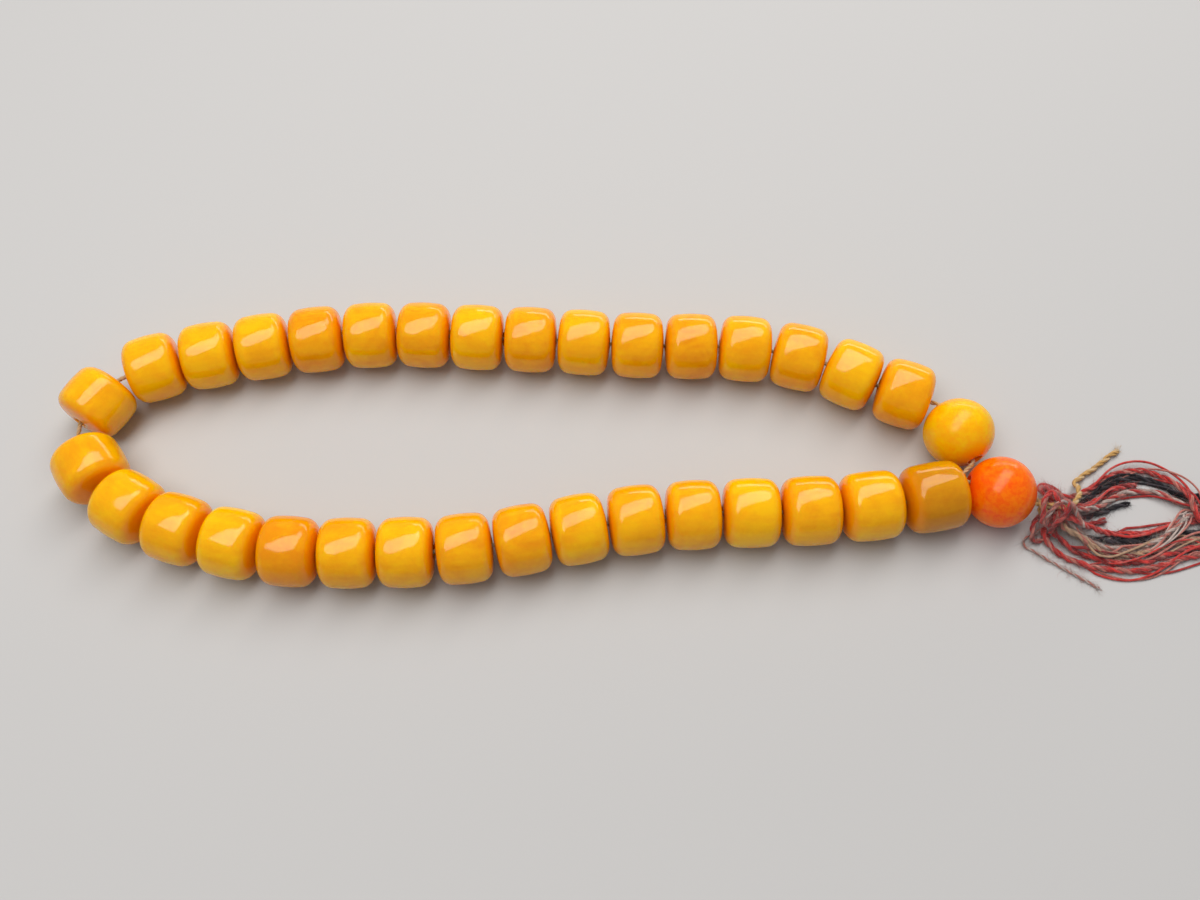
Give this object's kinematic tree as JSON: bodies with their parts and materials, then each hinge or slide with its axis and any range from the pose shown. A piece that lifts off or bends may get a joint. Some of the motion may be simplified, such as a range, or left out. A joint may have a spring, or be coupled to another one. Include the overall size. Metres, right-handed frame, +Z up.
{
  "type": "misbaha prayer beads",
  "caption": "Strung loop of barrel prayer beads with a round bead, a terminal bead and a knotted yarn tassel, lying flat.",
  "frame": {"origin": "middle of the bead loop's box in plan, on the surface that it lies on", "axes": "+X along the loop towards the terminal bead and tassel, +Y across it, +Z up"},
  "size_m": [0.2182, 0.055, 0.0124],
  "materials": {
    "resin_amber": "polished translucent resin",
    "resin_olive": "polished translucent resin, darker",
    "resin_orange_yellow": "satin mottled resin",
    "resin_orange": "satin mottled resin",
    "string_cord": "waxed twisted cord",
    "yarn_red": "twisted yarn",
    "yarn_black": "twisted yarn",
    "yarn_white": "twisted yarn",
    "yarn_beige": "frayed yarn"
  },
  "bodies": {
    "string": {"string": "string_cord"},
    "bead_01_round": {"bead_01_round": "resin_orange_yellow"},
    "bead_02": {"bead_02": "resin_amber"},
    "bead_03": {"bead_03": "resin_amber"},
    "bead_04": {"bead_04": "resin_amber"},
    "bead_05": {"bead_05": "resin_amber"},
    "bead_06": {"bead_06": "resin_amber"},
    "bead_07": {"bead_07": "resin_amber"},
    "bead_08": {"bead_08": "resin_amber"},
    "bead_09": {"bead_09": "resin_amber"},
    "bead_10": {"bead_10": "resin_amber"},
    "bead_11": {"bead_11": "resin_amber"},
    "bead_12": {"bead_12": "resin_amber"},
    "bead_13": {"bead_13": "resin_amber"},
    "bead_14": {"bead_14": "resin_amber"},
    "bead_15": {"bead_15": "resin_amber"},
    "bead_16": {"bead_16": "resin_amber"},
    "bead_17": {"bead_17": "resin_amber"},
    "bead_18": {"bead_18": "resin_amber"},
    "bead_19": {"bead_19": "resin_amber"},
    "bead_20": {"bead_20": "resin_amber"},
    "bead_21": {"bead_21": "resin_amber"},
    "bead_22": {"bead_22": "resin_amber"},
    "bead_23": {"bead_23": "resin_amber"},
    "bead_24": {"bead_24": "resin_amber"},
    "bead_25": {"bead_25": "resin_amber"},
    "bead_26": {"bead_26": "resin_amber"},
    "bead_27": {"bead_27": "resin_amber"},
    "bead_28": {"bead_28": "resin_amber"},
    "bead_29": {"bead_29": "resin_amber"},
    "bead_30": {"bead_30": "resin_amber"},
    "bead_31": {"bead_31": "resin_amber"},
    "bead_32": {"bead_32": "resin_amber"},
    "bead_33": {"bead_33": "resin_olive"},
    "terminal_bead": {"terminal_bead": "resin_orange"},
    "tassel": {"string_knot": "string_cord", "yarn_hitch": "yarn_red", "yarn_red_arc": "yarn_red", "yarn_black_arc": "yarn_black", "yarn_red_upper": "yarn_red", "yarn_red_inner": "yarn_red", "yarn_black_short": "yarn_black", "yarn_red_stub": "yarn_red", "yarn_red_top": "yarn_red", "yarn_black_low": "yarn_black", "yarn_white_low": "yarn_white", "yarn_beige": "yarn_beige", "yarn_red_low": "yarn_red", "yarn_red_outer": "yarn_red", "yarn_white_thread": "yarn_white", "string_tail": "string_cord"}
  },
  "joints": [
    {"name": "bead_17_slide", "type": "slide", "parent": "string", "child": "bead_17", "axis": [-0.5129, -0.8585, 0], "range_m": [0, 0.0005]},
    {"name": "bead_32_slide", "type": "slide", "parent": "string", "child": "bead_32", "axis": [0.9932, 0.1164, 0], "range_m": [0, 0.0003]},
    {"name": "tassel_swing", "type": "hinge", "parent": "string", "child": "tassel", "pos_m": [0.0875, -0.01227, 0.0048], "axis": [0, 0, 1], "range_deg": [-30, 30]},
    {"name": "bead_01_round_spin", "type": "hinge", "parent": "string", "child": "bead_01_round", "pos_m": [0.07424, 0.00124, 0.0062], "axis": [-0.3746, 0.9272, 0], "continuous": true},
    {"name": "bead_02_spin", "type": "hinge", "parent": "string", "child": "bead_02", "pos_m": [0.06546, 0.00901, 0.00605], "axis": [0.9381, -0.3464, 0], "continuous": true},
    {"name": "bead_03_spin", "type": "hinge", "parent": "string", "child": "bead_03", "pos_m": [0.05641, 0.01303, 0.00605], "axis": [0.8903, -0.4553, 0], "continuous": true},
    {"name": "bead_04_spin", "type": "hinge", "parent": "string", "child": "bead_04", "pos_m": [0.0471, 0.01665, 0.00605], "axis": [0.9646, -0.2638, 0], "continuous": true},
    {"name": "bead_05_spin", "type": "hinge", "parent": "string", "child": "bead_05", "pos_m": [0.03731, 0.01842, 0.00605], "axis": [0.9957, -0.0932, 0], "continuous": true},
    {"name": "bead_06_spin", "type": "hinge", "parent": "string", "child": "bead_06", "pos_m": [0.02743, 0.01891, 0.00605], "axis": [1, -0.0056, 0], "continuous": true},
    {"name": "bead_07_spin", "type": "hinge", "parent": "string", "child": "bead_07", "pos_m": [0.01759, 0.01916, 0.00605], "axis": [0.999, -0.0453, 0], "continuous": true},
    {"name": "bead_08_spin", "type": "hinge", "parent": "string", "child": "bead_08", "pos_m": [0.00777, 0.01976, 0.00605], "axis": [0.997, -0.0778, 0], "continuous": true},
    {"name": "bead_09_spin", "type": "hinge", "parent": "string", "child": "bead_09", "pos_m": [-0.00205, 0.02035, 0.00605], "axis": [0.9991, -0.0422, 0], "continuous": true},
    {"name": "bead_10_spin", "type": "hinge", "parent": "string", "child": "bead_10", "pos_m": [-0.01185, 0.02084, 0.00605], "axis": [0.9983, -0.0577, 0], "continuous": true},
    {"name": "bead_11_spin", "type": "hinge", "parent": "string", "child": "bead_11", "pos_m": [-0.02166, 0.02134, 0.00605], "axis": [0.9991, -0.042, 0], "continuous": true},
    {"name": "bead_12_spin", "type": "hinge", "parent": "string", "child": "bead_12", "pos_m": [-0.03155, 0.02128, 0.00605], "axis": [0.9986, 0.0521, 0], "continuous": true},
    {"name": "bead_13_spin", "type": "hinge", "parent": "string", "child": "bead_13", "pos_m": [-0.04139, 0.02039, 0.00605], "axis": [0.9915, 0.1299, 0], "continuous": true},
    {"name": "bead_14_spin", "type": "hinge", "parent": "string", "child": "bead_14", "pos_m": [-0.05113, 0.01886, 0.00605], "axis": [0.984, 0.1784, 0], "continuous": true},
    {"name": "bead_15_spin", "type": "hinge", "parent": "string", "child": "bead_15", "pos_m": [-0.06077, 0.01702, 0.00605], "axis": [0.9802, 0.1979, 0], "continuous": true},
    {"name": "bead_16_spin", "type": "hinge", "parent": "string", "child": "bead_16", "pos_m": [-0.07036, 0.01444, 0.00605], "axis": [0.9474, 0.3201, 0], "continuous": true},
    {"name": "bead_18_spin", "type": "hinge", "parent": "string", "child": "bead_18", "pos_m": [-0.07829, -0.00571, 0.00605], "axis": [-0.5733, 0.8194, 0], "continuous": true},
    {"name": "bead_19_spin", "type": "hinge", "parent": "string", "child": "bead_19", "pos_m": [-0.07053, -0.01292, 0.00605], "axis": [-0.8573, 0.5148, 0], "continuous": true},
    {"name": "bead_20_spin", "type": "hinge", "parent": "string", "child": "bead_20", "pos_m": [-0.06137, -0.01703, 0.00605], "axis": [-0.954, 0.2999, 0], "continuous": true},
    {"name": "bead_21_spin", "type": "hinge", "parent": "string", "child": "bead_21", "pos_m": [-0.05163, -0.01964, 0.00605], "axis": [-0.9759, 0.2181, 0], "continuous": true},
    {"name": "bead_22_spin", "type": "hinge", "parent": "string", "child": "bead_22", "pos_m": [-0.0418, -0.0211, 0.00605], "axis": [-0.9973, 0.0735, 0], "continuous": true},
    {"name": "bead_23_spin", "type": "hinge", "parent": "string", "child": "bead_23", "pos_m": [-0.03192, -0.0214, 0.00605], "axis": [-0.9999, -0.0107, 0], "continuous": true},
    {"name": "bead_24_spin", "type": "hinge", "parent": "string", "child": "bead_24", "pos_m": [-0.02211, -0.02127, 0.00605], "axis": [-0.9999, -0.0171, 0], "continuous": true},
    {"name": "bead_25_spin", "type": "hinge", "parent": "string", "child": "bead_25", "pos_m": [-0.01223, -0.02061, 0.00605], "axis": [-0.9931, -0.1171, 0], "continuous": true},
    {"name": "bead_26_spin", "type": "hinge", "parent": "string", "child": "bead_26", "pos_m": [-0.00248, -0.01905, 0.00605], "axis": [-0.9804, -0.1971, 0], "continuous": true},
    {"name": "bead_27_spin", "type": "hinge", "parent": "string", "child": "bead_27", "pos_m": [0.00713, -0.01709, 0.00605], "axis": [-0.9793, -0.2026, 0], "continuous": true},
    {"name": "bead_28_spin", "type": "hinge", "parent": "string", "child": "bead_28", "pos_m": [0.01686, -0.01542, 0.00605], "axis": [-0.991, -0.1339, 0], "continuous": true},
    {"name": "bead_29_spin", "type": "hinge", "parent": "string", "child": "bead_29", "pos_m": [0.0267, -0.01448, 0.00605], "axis": [-0.9983, -0.0579, 0], "continuous": true},
    {"name": "bead_30_spin", "type": "hinge", "parent": "string", "child": "bead_30", "pos_m": [0.03668, -0.01409, 0.00605], "axis": [-0.9998, -0.0207, 0], "continuous": true},
    {"name": "bead_31_spin", "type": "hinge", "parent": "string", "child": "bead_31", "pos_m": [0.04691, -0.0137, 0.00605], "axis": [-0.9985, -0.0546, 0], "continuous": true},
    {"name": "bead_33_spin", "type": "hinge", "parent": "string", "child": "bead_33", "pos_m": [0.06838, -0.01112, 0.00605], "axis": [-0.9828, -0.1848, 0], "continuous": true},
    {"name": "terminal_bead_spin", "type": "hinge", "parent": "string", "child": "terminal_bead", "pos_m": [0.07998, -0.01027, 0.0062], "axis": [-0.9703, 0.2419, 0], "continuous": true}
  ]
}
